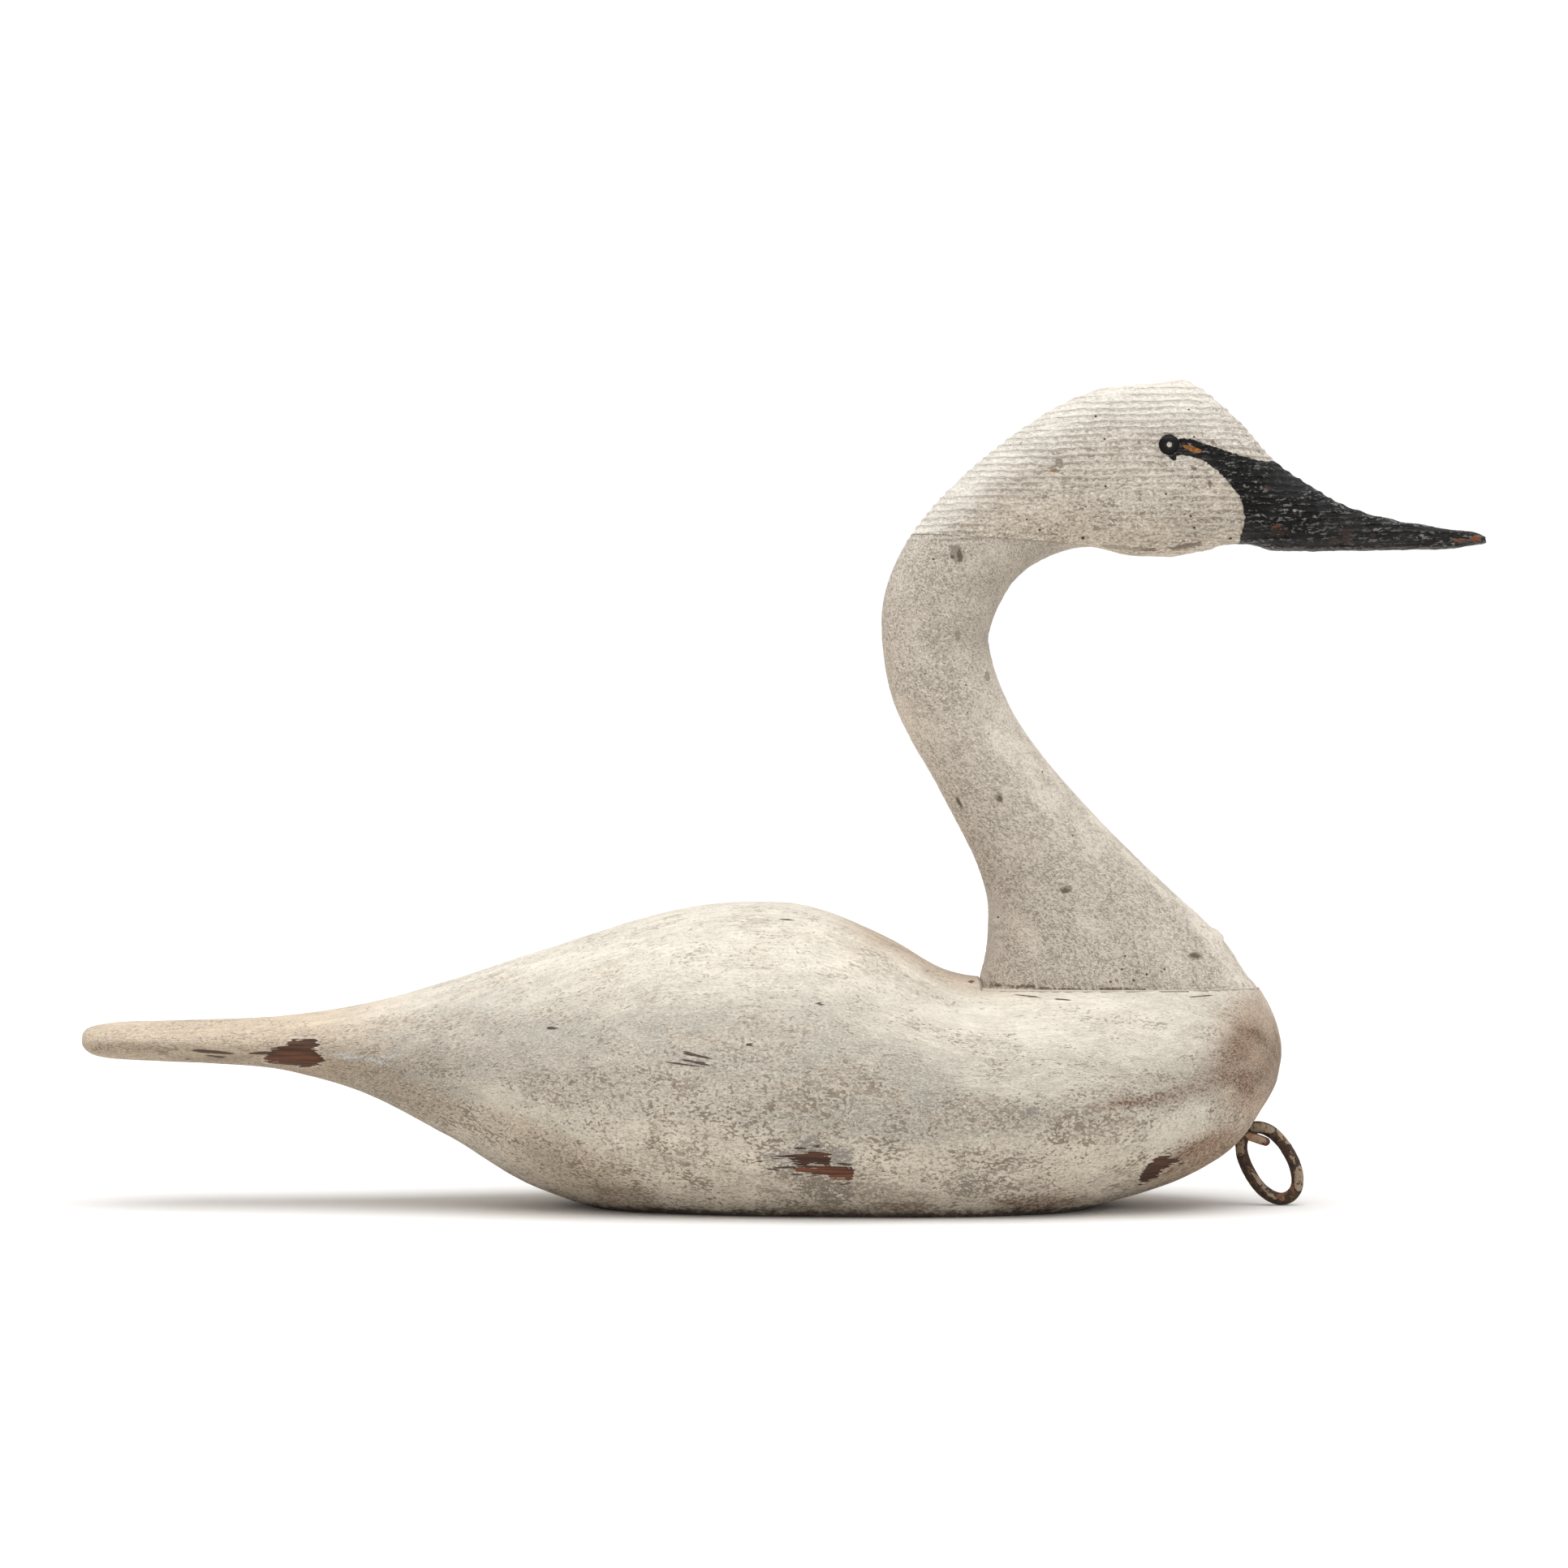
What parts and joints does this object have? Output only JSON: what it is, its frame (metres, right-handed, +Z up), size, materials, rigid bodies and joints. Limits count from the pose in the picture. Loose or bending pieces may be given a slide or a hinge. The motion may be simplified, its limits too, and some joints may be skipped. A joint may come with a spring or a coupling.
{
  "type": "swan decoy",
  "caption": "Carved wooden swan decoy with a curved neck, painted head and bill, flat base and an iron line ring on a breast staple.",
  "frame": {"origin": "on the floor under the middle of the overall length and width", "axes": "+X from the tail towards the bill, +Y towards the bird's left, +Z up from the flat base"},
  "size_m": [0.8626, 0.2632, 0.5074],
  "materials": {
    "painted_wood": "worn white oil paint over grey primer on wood",
    "painted_head": "worn white paint with a black painted bill, raised wood grain",
    "eye_tack": "black painted tack",
    "rusted_iron": "rusted iron with flaking pale paint"
  },
  "bodies": {
    "root": {"body": "painted_wood", "neck": "painted_wood", "head": "painted_head", "eye_left": "eye_tack", "eye_right": "eye_tack", "staple": "rusted_iron", "line_ring": "rusted_iron"}
  },
  "joints": []
}
